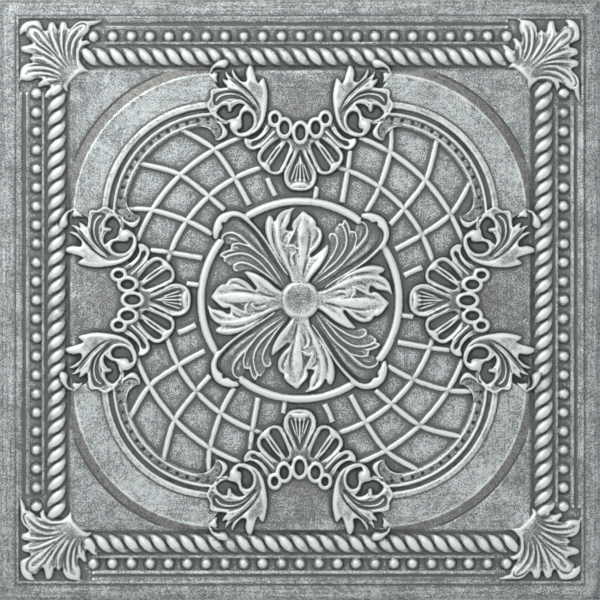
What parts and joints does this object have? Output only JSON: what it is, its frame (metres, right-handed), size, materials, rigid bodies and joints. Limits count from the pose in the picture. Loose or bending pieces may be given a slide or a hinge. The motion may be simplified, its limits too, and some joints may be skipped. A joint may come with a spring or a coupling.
{
  "type": "pressed tin ceiling tile",
  "caption": "Square pressed tin ceiling tile with a rope and bead border, corner leaves, shell cartouches, a lattice quatrefoil and a central rosette.",
  "frame": {"origin": "centre of the tile, on the back of the flat flange", "axes": "+Z out of the pressed face, towards the room; +X to the right and +Y up as the picture shows the tile"},
  "size_m": [0.6032, 0.6032, 0.0103],
  "materials": {
    "antique_silver": "satin"
  },
  "bodies": {
    "root": {"ceiling_tile": "antique_silver"}
  },
  "joints": []
}
